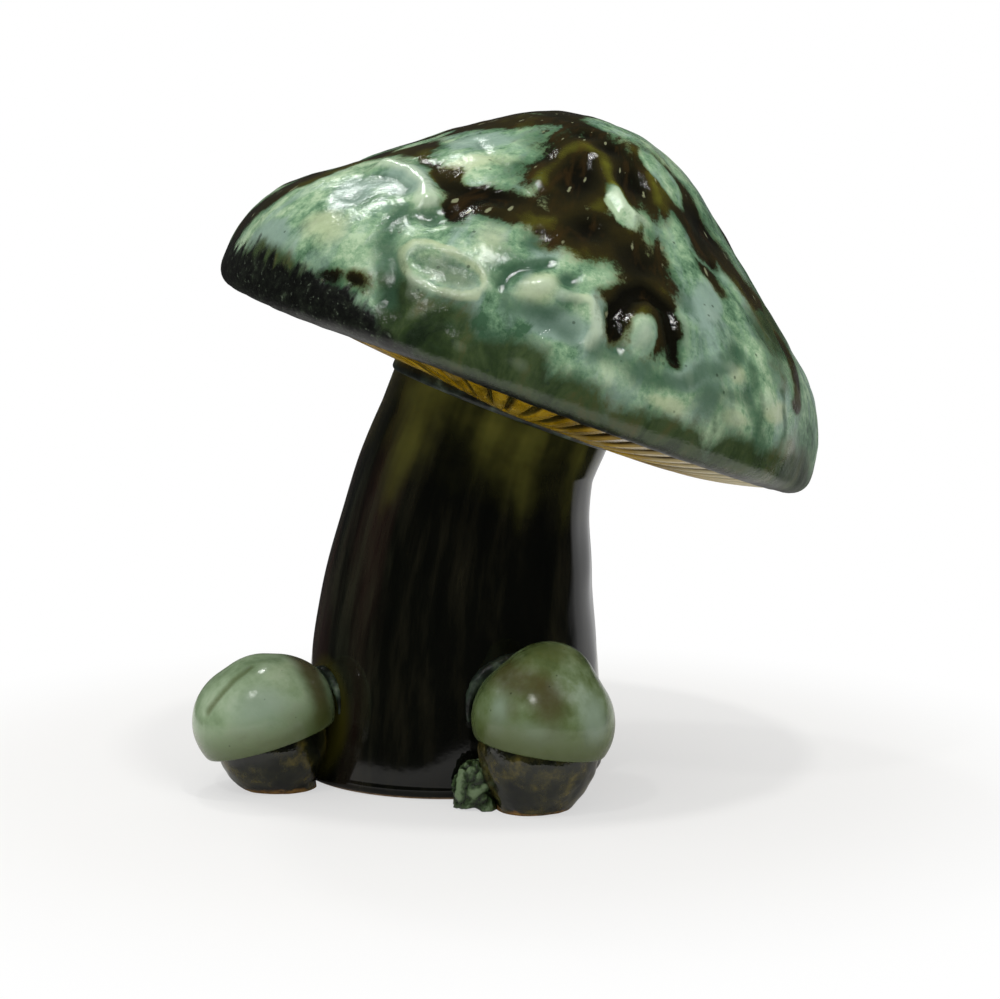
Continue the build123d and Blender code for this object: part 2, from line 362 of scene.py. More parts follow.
# camera where the photographer stood
cameraSet = {"place": (10.7, -394.0, 94.3), "down": 5.6, "lens": 68.5, "sensor": 36.0}
cameraData = bpy.data.cameras.new("photoCamera")
cameraData.lens = cameraSet["lens"]
cameraData.sensor_width = cameraSet["sensor"]
cameraData.sensor_fit = "HORIZONTAL"
cameraData.clip_start = 0.01
camera = addObject("photoCamera", cameraData)
camera.location = Vector(cameraSet["place"]) * mm
camera.rotation_euler = (math.radians(90 - cameraSet["down"]), 0, 0)
scene.camera = camera
print("camera set")

# cap: marks are (around, run from the apex, half size, narrow half, turn, depth or weight), and lines
# are (width, height or weight, spots of around and run)
dish = {"around": -108.3, "run": 75.0, "wide": 7.9, "tall": 4.4}  # degrees and millimetres
ovalRing = [
    (dish["around"] - dish["wide"] * math.cos(a), dish["run"] - dish["tall"] * math.sin(a))
    for a in np.linspace(0, 2 * math.pi, 13)]
crackLine = [(-98, 73.5), (-98, 71), (-97, 69), (-95, 67.3), (-93, 65.2)]  # beside the swirl
swirlLine = [(-88, 72), (-83, 71), (-81, 75), (-82, 78)]
capSet = {
    "radius": 64.0, "height": 55.5, "crown": 38.0, "roll": 27.0, "rollHeight": 2.5,
    "lip": 4.0, "land": 0.8, "wall": 7.0, "sag": 1.3, "steps": 512,
    "rolls": [(0.4, 17, 0.0), (0.22, 6, 3.1), (0.1, 2.5, 5.3)],  # uneven skin: height, size and shift
    "rimRolls": [(0.15, 4, 1.7)],
    "rimFrom": 84.0, "pressEnd": 91.0, "rollEnd": 90.0, "sagEnd": 92.0,  # runs where the rim takes over
    "pressWander": (9, 0.9),  # presses keep their outlines better than the glaze does
    "tintWander": [(12, 2.2), (4, 0.7)],
    "creaseRounds": 24,
    "left": -150.0, "leftEnds": (44, 26), "combEnds": (46, 28),  # left of the front and its fades, degrees
    "darkFrom": 91.0, "darkBroader": 7.5, "darkBlend": 4.0,  # dark rim, broader and combed on the left
    "comb": 0.5, "leftComb": 2.2,
    "dryEnds": (42, 22), "dryRuns": (58, 74),  # the low tip came out drier
    "flowWidth": 40.0, "flowTurn": 16.0, "flowDrag": 0.3,  # how the streaks run down from the apex
    "presses": [
        (-108.3, 75, 7.8, 4.4, 0, 1.4),  # oval dish in front
        (-118, 64.5, 3.6, 3.0, 56, 1.5),  # hollow of the hook
        (-115, 59, 4.6, 3.2, 89, 0.9),
        (-115, 51.5, 8.0, 4.0, -13, 0.9),
        (-112, 31.5, 7.0, 3.6, 62, 0.9),  # dark cells of the crown
        (-95, 34.5, 8.0, 4.6, 83, 1.2),
        (-75, 30, 7.6, 3.8, -89, 1.2),
        (-85, 22.5, 3.8, 2.8, -60, 0.7),
        (-101, 21, 3.6, 2.6, -38, 0.7),
        (-87, 50.5, 5.4, 3.6, -60, 1.0),
        (-97, 60, 4.4, 3.4, -55, 0.8),
        (-88, 67.8, 2.4, 1.9, -54, 0.9),
        (-88, 77, 6.0, 3.4, 0, 1.2),  # dish under the swirl
        (-92, 71, 4.6, 3.0, -31, -1.2),  # swirl
        (-73.5, 55, 8.4, 4.6, -67, 0.9),
        (-72.8, 72, 4.4, 2.2, 90, -0.7),  # knob, the shape of a leaf
        (-62, 60, 6.2, 3.6, -87, 1.0),  # right flank
        (-60, 70, 5.4, 3.6, -67, 0.9),
        (-50, 66.5, 6.6, 4.0, -82, 0.9),
        (-48, 76, 4.5, 3.1, 89, 0.8),
        (-43, 35, 7.2, 5.5, 79, 0.9),
        (-52, 73, 3.8, 3.1, -33, -0.5),  # teardrops
        (-51, 82, 4.3, 2.2, -9, -0.5),
        (-43, 76.5, 4.7, 2.9, 32, -0.6),
        (-35, 83.5, 6.6, 2.7, 4, -0.7),
        (-139, 65, 6.6, 4.2, 36, 0.8),  # left flank
        (-136, 79, 12, 6.5, -15, -0.7),
        (-127, 84.5, 3.0, 1.8, -4, 0.8),
        (-122, 83.5, 3.0, 1.8, -3, 0.8),
        (-105, 67, 8.5, 3.9, 65, -0.35),
        (-78, 82.5, 6.4, 3.8, -1, -0.6),
        (-99, 83.5, 6.6, 2.5, 0, 0.6),
        (-124, 41.5, 9.6, 7.0, 80, -0.5),
    ],
    "ridges": [
        (2.4, 1.8, [(-143, 54.5), (-134, 54), (-127, 56), (-122, 61)]),  # rolled hook
        (1.1, 0.6, ovalRing),
        (1.4, 0.7, swirlLine),
        (1.7, 1.1, [(-82, 37), (-79, 41), (-74, 43)]),  # comma in the dark pour
        (2.2, 0.6, [(-104.8, 42), (-104.8, 35.5), (-104, 29.6), (-98, 26.5)]),  # between the dark cells
        (2.2, 0.5, [(-90, 27), (-86.3, 31.3), (-83.2, 34.4)]),
        (2.0, 0.4, [(-67, 28), (-65.2, 31.4), (-64.5, 35)]),
        (1.8, -1.5, [(-77, 76), (-79, 71), (-77, 65), (-72, 62), (-68, 65), (-66, 74)]),  # round the knob
        (1.1, -0.6, crackLine),  # crack beside the swirl
        (3.2, -1.0, [(-124, 68), (-121, 74), (-117, 78), (-115, 84)]),  # crease left of the oval dish
        (1.3, -0.5, [(-135, 37), (-126, 40), (-118, 41)]),
        (1.2, -0.5, [(-47, 47), (-42, 54), (-38, 62)]),
    ],
    "iron": [
        (-92, 33, 17, 11, -86, 1.0),  # main dark pour over the crown
        (-109, 53, 12.5, 5.0, 6, 1.0),
        (-84, 51, 12, 9, 4, 1.0),
        (-73, 60, 11, 6.0, -71, 1.0),
        (-66, 29, 10, 5.0, -75, 1.0),
        (-116, 58, 5.4, 2.6, 62, 0.9),
        (-127, 84.5, 3.2, 1.8, -12, 0.7),
        (-122, 83.5, 3.2, 1.8, -12, 0.7),
        (-128, 40, 8.6, 5.4, -46, -1.0),  # jade left showing inside and beside the pour
        (-78, 40.5, 5.2, 2.0, 60, -1.0),
        (-118, 47, 2.8, 1.8, -35, -1.0),
        (-72.7, 69, 6.4, 6.2, 0, 1.0),  # round the knob
        (-78, 72.5, 4.0, 2.2, 80, 1.0),
        (-72.6, 73.6, 5.0, 2.3, 90, -1.0),
        (-60, 51, 8.5, 3.4, 84, -1.0),
        (-58, 25, 6.5, 2.6, 65, -1.0),
        (-60, 9, 10, 5.0, 0, -1.0),
        (-160, 40, 6.0, 2.2, 75, -1.0),
    ],
    "ironRuns": [
        (2.6, 1.0, [(-79, 67), (-77, 63.5), (-72, 61), (-68, 63)]),  # over the knob and down beside it
        (1.7, 0.9, [(-68, 63), (-66.5, 69)]),
        (1.2, 0.8, [(-66.5, 69), (-66, 74)]),
        (1.3, 0.8, [(-79, 67), (-78.5, 73)]),
        (3.2, 1.0, [(-58, 28), (-52, 36), (-49, 43)]),  # streaks of the right silhouette
        (1.7, 0.9, [(-58, 47), (-51, 50), (-49, 54)]),
        (4.2, 1.0, [(-47, 27), (-42, 35), (-37, 42), (-31, 50)]),
        (2.0, 1.0, [(-28, 61), (-30, 68), (-32, 74)]),
        (4.2, 1.0, [(-165, 90), (-166, 82), (-162, 74), (-160, 66)]),  # along the left skyline
        (2.2, 0.9, [(-155, 66), (-157, 60), (-158, 55), (-153, 48)]),
        (4.2, 1.0, [(-158, 50), (-154, 44), (-148, 45)]),
        # beside the hook
        (3.0, 1.0, [(-150, 45), (-138, 47), (-127, 50.5), (-120, 53), (-114, 54), (-107, 53)]),
        (1.8, 0.8, [(-118, 59), (-115, 61), (-114, 58), (-114, 55)]),
        (4.4, 1.0, [(-164, 36), (-152, 28), (-139, 22), (-124, 17), (-108, 18)]),
        (8.0, 1.0, [(200, 13), (150, 12), (100, 15)]),  # pours over the back
        (6.5, 1.0, [(150, 12), (138, 26), (143, 42), (136, 54)]),
        (3.4, 0.9, [(136, 54), (126, 64), (129, 76)]),
        (2.8, 0.9, [(143, 42), (156, 52), (158, 66)]),
        (6.0, 1.0, [(100, 15), (84, 28), (76, 40), (80, 52)]),
        (3.0, 0.9, [(80, 52), (72, 64), (76, 78)]),
        (2.4, 0.8, [(76, 40), (62, 48), (56, 60)]),
        (5.0, 1.0, [(100, 13), (54, 17), (30, 28), (18, 40), (22, 52), (12, 64)]),
        (2.6, 0.8, [(22, 52), (32, 62), (34, 72)]),
        (3.8, 1.0, [(40, 22), (4, 26), (-9, 36), (-6, 46)]),
        (3.0, 0.9, [(196, 22), (192, 40), (186, 54), (190, 66)]),
    ],
    "deep": [
        (-106, 89, 10, 8.0, -4, 1.0),  # deep green low on the front
        (-93, 90, 11, 7.0, 0, 1.0),
        (-81, 90.5, 10, 5.4, 0, 0.8),
        (-64, 90.5, 14, 5.0, 1, 1.0),
        (-46, 90.5, 13, 5.4, 1, 1.0),
        (-27, 91, 15, 8.0, 4, 1.0),
        (-28, 57, 14.5, 7.0, -38, 0.6),
        (-144, 88, 15, 5.0, -3, 1.0),
        (-113, 84, 6.0, 4.0, 70, 1.0),
    ],
    "shade": [
        (-97, 60, 4.4, 3.4, -55, 0.7),
        (-88, 69, 3.0, 2.2, -54, 0.6),
        (-99, 69, 4.6, 3.6, 40, 0.6),
        (-57, 80, 8.0, 5.0, 33, 0.5),
        (-72.6, 73.6, 5.0, 2.6, 90, 0.3),  # leaf of the knob
    ],
    "shadeRuns": [
        (3.0, 0.6, [(-124, 66), (-121, 74), (-117, 78), (-114, 84)]),
        (2.2, 0.7, [(-119, 60), (-119, 64), (-122, 67)]),
        (1.5, 1.0, crackLine),
        (1.4, 0.8, [(-47, 70), (-46, 78), (-45, 87)]),
        (1.2, 0.8, [(-38, 72), (-37, 80), (-38, 88)]),
        (1.4, 0.7, [(-57, 71), (-56, 79), (-55, 88)]),
        (2.4, 0.7, [(-80, 79), (-72, 80), (-64, 77), (-57, 73), (-50, 68)]),
        (2.0, 0.6, [(-55, 78), (-48, 77), (-45, 82), (-42, 86)]),
        (1.8, 0.6, [(-86, 72), (-90, 75), (-96, 77), (-99, 72)]),
    ],
    "cream": [
        (-92, 72, 3.6, 2.6, -60, 0.9),
        (-108.3, 75, 5.6, 3.0, 0, 0.4),
        (-134, 75, 6.0, 3.8, 2, 0.8),
        (-51, 82, 3.4, 1.8, -1, 0.9),
        (-42, 77, 5.0, 2.2, -12, 0.9),
        (-52, 73, 2.9, 2.0, -28, 0.8),
        (-66, 83, 4.0, 1.8, -4, 0.8),
        (-125, 45, 8.6, 3.3, -53, 0.8),
        (-104, 66, 6.7, 2.8, 66, 0.45),
    ],
    "creamRuns": [
        # the pale line round the oval dish is cream glaze on its crest and partly a painted highlight
        (0.9, 0.9, ovalRing),
        (1.1, 1.0, swirlLine),
    ],
    "milk": [
        (-87, 77, 5.4, 2.8, -1, 1.0),
        (-131, 57, 7.5, 4.5, 10, 1.0),
        (-139, 65, 5.5, 4.0, 36, 1.0),
        (-95, 60, 5.6, 3.2, 82, 0.8),
        (-136, 36, 6.0, 3.2, -56, 1.0),
        (-57, 58, 6.7, 3.4, -63, 0.9),
        (-146, 81, 7.0, 3.4, -9, 1.0),
        (-80, 73, 5.4, 2.4, 73, 0.9),
        (-63, 76, 4.4, 2.6, -28, 0.9),
    ],
    "frontArc": (-168.0, -22.0),  # the marks above fill this arc, the rest is marked by rule
    "seed": 11, "goldenAngle": 137.508,
    "backPresses": {"count": 48, "runs": (16, 62), "half": (6.0, 7.6), "narrow": (4.8, 6.0),
                    "turn": (-90, 90), "depth": (1.3, 1.8), "pool": (0.75, 0.55)},
    "backTints": {"count": 44, "shift": 40, "runs": (18, 66), "half": (5, 9), "narrow": (2.6, 5.0),
                  "turn": (45, 125), "weight": (0.5, 0.8), "apart": 8},
    "backDeep": {"around": (-6, 180, 17), "run": (88, 92), "half": (9, 14), "narrow": (4, 7.5)},
    "backRolls": [(0.5, 12, 7.0)], "backFade": (0, 20),  # the pours of the back are more ragged
}


# marks of the side that the photo doesn't show: a golden-angle spread, sizes drawn from one seed
def addBackMarks(s):
    draw = random.Random(s["seed"])
    low, high = s["frontArc"]
    marks = {key: list(s[key]) for key in ("presses", "iron", "deep", "shade", "cream", "milk")}
    b = s["backPresses"]
    for k in range(b["count"]):
        around = (k * s["goldenAngle"]) % 360 - 180
        run = b["runs"][0] + b["runs"][1] * math.sqrt((k + 0.5) / b["count"])
        half, narrow, turn = [draw.uniform(*b[key]) for key in ("half", "narrow", "turn")]
        if not low < around < high:
            marks["presses"].append((around, run, half, narrow, turn, draw.uniform(*b["depth"])))
            kind = ("shade", "milk")[k % 2]  # the glaze pools in every hollow
            share, weight = b["pool"]
            marks[kind].append((around, run, share * half, share * narrow, turn, weight))
    b = s["backTints"]
    for k in range(b["count"]):
        around = (k * s["goldenAngle"] + b["shift"]) % 360 - 180
        run = b["runs"][0] + b["runs"][1] * math.sqrt((k + 0.5) / b["count"])
        kind = ("milk", "shade", "cream")[k % 3]
        size = [draw.uniform(*b[key]) for key in ("half", "narrow", "turn")]
        if not low - b["apart"] < around < high + b["apart"]:
            marks[kind].append((around, run, *size, draw.uniform(*b["weight"])))
    b = s["backDeep"]
    for around in range(*b["around"]):
        run, half, narrow = [draw.uniform(*b[key]) for key in ("run", "half", "narrow")]
        marks["deep"].append((around, run, half, narrow, 0, 1.0))
    return marks


# degrees between places round the cap and the middle of a stretch
def awayFrom(around, middle):
    return np.abs((around - middle + 180) % 360 - 180)


def buildCap(s, material):
    outside = domeOutline(s)
    inside = domeOutline(s, grow=-s["wall"], counts=(8, 6, 8))
    lip = arcPoints((s["radius"] - s["lip"], s["rollHeight"]), s["lip"], -6, -90, 9)
    rebate = s["radius"] - s["lip"] - s["land"]
    under = [(rebate, s["rollHeight"] - s["lip"]), (rebate, s["rollHeight"])]
    skin = outside + lip
    bm = spinOutline(skin + under + inside[::-1], s["steps"])
    points, normals, radial, side = measure(bm)
    run = nearestRuns(points, skin)
    around = np.degrees(side)
    marks = addBackMarks(s)
    near = wander(points, *s["pressWander"])
    height = pressHeights(near, skin, marks["presses"], s["ridges"]) + rollLayers(points, s["rolls"])
    outer = (radial > rebate + 0.1) | (normals[:, 2] > 0.05)
    fade = {key: smoothStep(s["rimFrom"], s[key], run) for key in ("pressEnd", "rollEnd", "sagEnd")}
    lift = height * (1 - fade["pressEnd"]) + rollLayers(points, s["rimRolls"]) * fade["rollEnd"]
    moved = points + normals * np.where(outer, lift, 0)[:, None]
    low = smoothStep(0.2, 0.8, -np.cos(side))  # the lip hangs lower on the high side
    moved[:, 2] -= np.where(normals[:, 2] < 0.5, s["sag"] * low * fade["sagEnd"], 0)
    moveVerts(bm, moved)

    fields = {"height": height, "crease": creaseField(bm, height, s["creaseRounds"])}
    loose = points
    for size, reach in s["tintWander"]:
        loose = wander(loose, size, reach)
    for key in ("iron", "deep", "shade", "cream", "milk"):
        fields[key] = tintField(loose, skin, marks[key], s.get(key + "Runs", ()))
    first, last = s["frontArc"]
    past = awayFrom(around, (first + last) / 2) - (last - first) / 2  # degrees past the ends of the front
    fields["iron"] += rollLayers(points, s["backRolls"]) * smoothStep(*s["backFade"], past)
    fromLeft = awayFrom(around, s["left"])
    darkFrom = s["darkFrom"] - s["darkBroader"] * smoothStep(*s["leftEnds"], fromLeft)
    fields["rim"] = (run - darkFrom) / s["darkBlend"]
    fields["combed"] = s["comb"] + s["leftComb"] * smoothStep(*s["combEnds"], fromLeft)
    fields["dry"] = smoothStep(*s["dryEnds"], np.abs(around)) * smoothStep(*s["dryRuns"], run)
    wide = s["flowWidth"] * np.tanh(run / s["flowTurn"])  # so that the streaks don't meet in a star
    fields["flow"] = columnPoints(wide, side, run * s["flowDrag"]) * mm
    bm.transform(capPlace)
    finishPiece(bm, "capDome", "cap_dome", material, fields)


# reactive glaze on fired clay: opaque jade, cream on crests and grey in hollows, with a glassy iron
# glaze run over it that is near black where it pools and olive where it is thin
def makeCapGlaze():
    marks = ("height", "iron", "deep", "shade", "cream", "milk", "rim", "combed", "crease", "dry", "flow")
    material, tree, read = newMaterial("reactiveJadeAndIronGlaze", marks, {
        "mottle": ("spot", 12, 5, 0.6, 0.5),
        "broad": ("spot", 34, 3, 0.5, 0),
        "grain": ("spot", 2.6, 5, 0.7, 0),
        "fine": ("spot", 0.9, 3, 0.7, 0),
        "streak": ("flow", 4.5, 5, 0.62, 0.5),
        "comb": ("flow", 1.3, 3, 0.5, 0),
    })
    mottle, grain, fine, streak = [read[key] for key in ("mottle", "grain", "fine", "streak")]
    height, crease = read["height"], read["crease"]
    dots = addNode(tree, "TexVoronoi", {"Vector": read["spot"], "Scale": markScale(4.5)}, out="Distance")
    chips = addNode(tree, "TexVoronoi", {"Vector": read["flow"], "Scale": markScale(2.6)}, out="Distance")

    # jade in clouds, with milky streaks
    cloud = addUp(tree, mottle, (read["broad"], 0.7), (grain, 0.75), (fine, 0.3), (height, 0.06))
    cloud = addNode(tree, "MapRange", {0: cloud, 1: 1.07, 2: 1.69})
    colour = addNode(tree, "ValToRGB", {"Fac": cloud}, stops=[
        (0.1, "3E5E44"), (0.34, "628465"), (0.55, "83A37F"), (0.78, "A9C19D")])
    colour = layTints(tree, colour, [((streak, 0.47, 0.66, 0.7), "93A99F")])

    # the named tints, each with an edge broken by the streaks and the grain
    swamp = addNode(tree, "ValToRGB", {"Fac": streak}, stops=[
        (0.34, "16200F"), (0.46, "2A381C"), (0.55, "3A4826"), (0.68, "4C4820")])
    # the cream tint also carries the painted highlight along the oval dish's ring
    tints = {
        "cream": (0.8, 1.6, 0.7, "B2BE96"), "milk": (0.75, 1.4, 0.8, "869D90"),
        "shade": (0.8, 1.6, 0.8, "3C5A42"), "deep": (0.8, 1.45, 0.96, swamp)}
    for key, (low, high, most, tint) in tints.items():
        edge = addUp(tree, read[key], (streak, 1.1), (grain, 0.7))
        colour = layTints(tree, colour, [((edge, low, high, most), tint)], **soft)

    # the glaze breaks: dark in creases and pale on crests, with dark specks
    crack = addUp(tree, crease, (grain, 0.12))
    colour = layTints(tree, colour, [
        ((crack, 0.14, 0.5, 0.6), "34523F"), ((crease, -0.1, -0.6, 0.5), "C3D2B8"),
        ((dots, 0.09, 0.05, 0.6), "2C3A2A")])

    # iron glaze over it, with a green and brown fringe, amber streaks and pale chips
    ragged = addUp(tree, read["iron"], (streak, 1.4), (grain, 0.7), (fine, 0.5))
    fringe = addNode(tree, "ValToRGB", {"Fac": mottle}, stops=[
        (0.38, "2E4A30"), (0.5, "3E5636"), (0.62, "4E4A1C")])
    colour = layTints(tree, colour, [((ragged, 1.05, 1.6, 0.85), fringe)])
    ironShare = addNode(tree, "MapRange", {0: ragged, 1: 1.38, 2: 1.74}, **soft)
    thin = addUp(tree, height, (mottle, 1.1), (crease, -0.4))
    thin = addNode(tree, "MapRange", {0: thin, 1: -0.6, 2: 1.5})
    iron = addNode(tree, "ValToRGB", {"Fac": thin}, stops=[
        (0.1, "0C0B05"), (0.4, "1B190C"), (0.6, "29240F"), (0.76, "474616"), (0.94, "6E7024")])
    chip = addUp(tree, chips, (grain, -0.35))
    iron = layTints(tree, iron, [
        ((streak, 0.53, 0.68, 0.5), "3A2A12"), ((chip, -0.02, -0.08, 0.7), "8F9272")])

    # dark rim with a combed edge, and small painted glints on it
    comb = addNode(tree, "Math", {0: read["comb"], 1: -0.5}, operation="ADD")
    edge = addUp(tree, read["rim"], (comb, read["combed"]))
    rimShare = addNode(tree, "MapRange", {0: edge, 1: -0.2, 2: 0.5}, **soft)
    rimTint = addNode(tree, "ValToRGB", {"Fac": grain}, stops=[
        (0.3, "040503"), (0.5, "0B0E09"), (0.62, "1A2016"), (0.78, "4A5A42")])
    # painted highlight: small pale glints laid into the dark rim's colour
    paintedGlint = addNode(tree, "MapRange", {0: fine, 1: 0.62, 2: 0.7, 4: 0.45})
    paintedGlint = addNode(tree, "Math", {0: paintedGlint, 1: rimShare}, operation="MULTIPLY")
    colour = layTints(tree, colour, [(ironShare, iron), (rimShare, rimTint), (paintedGlint, "7C8B74")])

    rough = addNode(tree, "MapRange", {0: fine, 1: 0.35, 2: 0.65, 3: 0.09, 4: 0.2})
    for share, value in ((ironShare, 0.06), (rimShare, 0.36), (read["dry"], 0.6)):
        rough = addNode(tree, "Mix", {0: share, 2: rough, 3: value})
    pits = addUp(tree, grain, (fine, 0.35))
    return finishMaterial(material, colour, rough, (pits, 0.35, 0.5))


buildCap(capSet, makeCapGlaze())

# gills: a bulged disc pressed into broad planks, a short groove between each pair of long ones
gillSet = {
    "radius": 59.0, "rim": -1.2, "land": 27.05, "bulge": 0.7, "count": 72, "perGill": 16, "rows": 26,
    "seat": 1.5, "seatRadii": (20.0, 23.7), "landRadii": (23.9, 25.4),  # recess that takes the neck
    "vent": 1.5, "floor": 5.0, "top": 2.4, "topRadius": 57.2,
    "groove": 1.3, "grooveWidth": 0.16, "overlap": 0.5, "uneven": 0.35, "hang": 0.9, "tuck": 1.5,
    "ring": 30.0, "sway": 0.12, "swaySize": 9.0, "swayDrag": 0.6, "flowDrag": 0.15,
}


def buildGills(s, material):
    drop = -figure["drop"]
    share = np.linspace(0, 1, s["rows"])
    seat = [(r, drop + s["seat"]) for r in (s["vent"], *s["seatRadii"])]
    land = [(r, drop) for r in s["landRadii"]]
    under = [(s["land"] + t * (s["radius"] - s["land"]),
              drop + t * (s["rim"] - drop) - 4 * s["bulge"] * t * (1 - t)) for t in share]
    roof = [(r, s["top"]) for r in (s["radius"], s["topRadius"])]
    roof += [(r, drop + s["floor"]) for r in (s["land"], s["vent"])]
    bm = spinOutline(seat + land + under + roof, s["count"] * s["perGill"], closed=True)
    points, normals, radial, around = measure(bm)
    circle = s["ring"] * np.stack([np.cos(around), np.sin(around)])
    down = normals[:, 2] < -0.3
    below = down & (radial > s["land"] - 0.1)
    t = np.clip((radial - s["land"]) / (s["radius"] - s["land"]), 0, 1)
    sway = s["sway"] * rollNoise(np.stack([radial * s["swayDrag"], *circle], axis=1), s["swaySize"])
    turn = (around / (2 * math.pi) * s["count"] + sway) % s["count"]
    part = turn % 1
    gap = np.minimum(part, 1 - part)
    number = np.floor(turn)
    second = np.floor(turn + 0.5) % 2
    short = 1 - 0.75 * second * smoothStep(0.45, 0.1, t)  # every second groove fades inwards
    groove = np.exp(-(gap / s["grooveWidth"]) ** 2) * short * smoothStep(0, 0.1, t)
    uneven = rollNoise(np.stack([number * 3.7, number * 1.3, t * 4], axis=1), 2.0, 5.0)
    lift = s["groove"] * groove + s["overlap"] * (part - 0.5) * t + s["uneven"] * uneven * t * (1 - 0.6 * t)
    lift -= s["hang"] * np.clip(np.cos(around), 0, 1) * np.sin(math.pi * t)  # hangs lower down the slope
    high = smoothStep(0.15, -0.7, np.cos(around))
    tuck = s["tuck"] * high * smoothStep(1.0, 0.55, t)  # and is tucked in above
    first, last = s["landRadii"]
    points[:, 2] += np.where(below, lift, 0) + np.where(down & (radial > first - 0.1), tuck, 0)
    points[:, 0] -= figure["shift"] * smoothStep(s["land"], last + 0.1, radial)  # the land follows the neck
    moveVerts(bm, points)
    bm.transform(capPlace)
    # the ends on the low side are marked paler: partly thinner glaze, partly a painted highlight
    fields = {"groove": np.where(below, groove, 0), "plank": number % 7 / 7,
              "thinAndSheenEnds": smoothStep(0.2, 0.9, np.cos(around)) * smoothStep(0.35, 0.9, t),
              "flow": np.stack([radial * s["flowDrag"], *circle], axis=1) * mm}
    finishPiece(bm, "gillDisc", "gill_disc", material, fields)


# honey glaze over the pressed gills: ochre planks with the glaze pooled dark brown in the grooves, and
# paler towards the ends on the low side: partly glaze wiped thin, partly a painted highlight
def makeGillGlaze():
    material, tree, read = newMaterial("ochreHoneyGlaze", ("groove", "thinAndSheenEnds", "plank", "flow"), {
        "streak": ("flow", 1.6, 4, 0.6, 0),
        "mottle": ("spot", 14, 4, 0.5, 0),
    })
    mixed = addUp(tree, read["streak"], (read["plank"], 0.22))
    colour = addNode(tree, "ValToRGB", {"Fac": mixed}, stops=[
        (0.35, "5E480A"), (0.5, "8C6E0C"), (0.65, "B08A10"), (0.85, "C9A632")])
    # pale mottle, then the paler low-side ends, which are partly a painted highlight
    colour = layTints(tree, colour, [
        ((read["mottle"], 0.5, 0.66, 0.35), "CDBB86"), ((read["thinAndSheenEnds"], 0.0, 1.0, 0.95), "DDD2AE")])
    dark = addUp(tree, read["groove"], (read["streak"], 0.5))
    colour = layTints(tree, colour, [((dark, 0.4, 0.85, 0.97), "221604")], **soft)
    return finishMaterial(material, colour, 0.16, (read["streak"], 0.2, 0.4))


buildGills(gillSet, makeGillGlaze())

# stem: a bent hollow column with an unglazed foot ring
stemSet = {
    "radii": (32.0, 29.8, 26.8, 23.5),  # at the foot, where the bend starts, half way and at the neck
    "wall": 5.5, "round": 1.5, "seat": 1.5, "rows": 120, "innerRows": 40, "steps": 256,
    "ripple": (0.22, 3.2, 0.0), "wave": (0.5, 15, 2.0),  # height, size and shift of the unevenness
    "calmFoot": (2, 30), "calmNeck": (1, 8),  # it fades towards both ends
    "flutes": (14.0, 0.14), "streaks": (20.0, 0.12),  # radius and share of the height that they follow
    "leftButton": (-0.0363, -0.0209, 0.0146),  # middle of the left button, metres: the glaze is thin there
}
stemRuns = (0.0, figure["rise"], figure["rise"] + bendRun / 2, figure["rise"] + bendRun)
stemCurve = np.polyfit(stemRuns, stemSet["radii"], 3)


def stemRadius(run):
    return np.where(run < stemRuns[-1], np.polyval(stemCurve, run), stemSet["radii"][-1])


def buildStem(s, material):
    top = seatRun + s["seat"]
    foot = s["radii"][0]
    inner = foot - s["wall"]
    outside = [(float(stemRadius(z)), z) for z in np.linspace(s["round"], top, s["rows"])[1:]]
    innerRuns = np.linspace(top, s["round"], s["innerRows"])[:-1]
    inside = [(float(stemRadius(z)) - s["wall"], z) for z in innerRuns]
    ring = arcPoints((inner + s["round"], s["round"]), s["round"], 180, 270, 5)
    edge = arcPoints((foot - s["round"], s["round"]), s["round"], -90, 0, 6)
    bm = spinOutline(outside + inside + ring + edge, s["steps"], closed=True)
    points, normals, radial, around = measure(bm)
    run = points[:, 2].copy()
    outer = radial > stemRadius(run) - 2
    calm = smoothStep(*s["calmFoot"], run) * smoothStep(*[top - d for d in s["calmNeck"]], run)
    width, drag = s["flutes"]
    flutes = columnPoints(width, around, run * drag)
    lift = rollLayers(flutes, [s["ripple"]]) + rollLayers(points, [s["wave"]])
    points[:, :2] *= (1 + np.where(outer, lift * calm, 0) / radial)[:, None]
    moveVerts(bm, [bentPoint(*p) for p in points])
    width, drag = s["streaks"]
    fields = {"flow": columnPoints(width, around, run * drag) * mm, "run": run,
              "bare": np.where(outer & (normals[:, 2] > -0.6), 0.0, 1.0)}
    finishPiece(bm, "stem", "stem", material, fields)


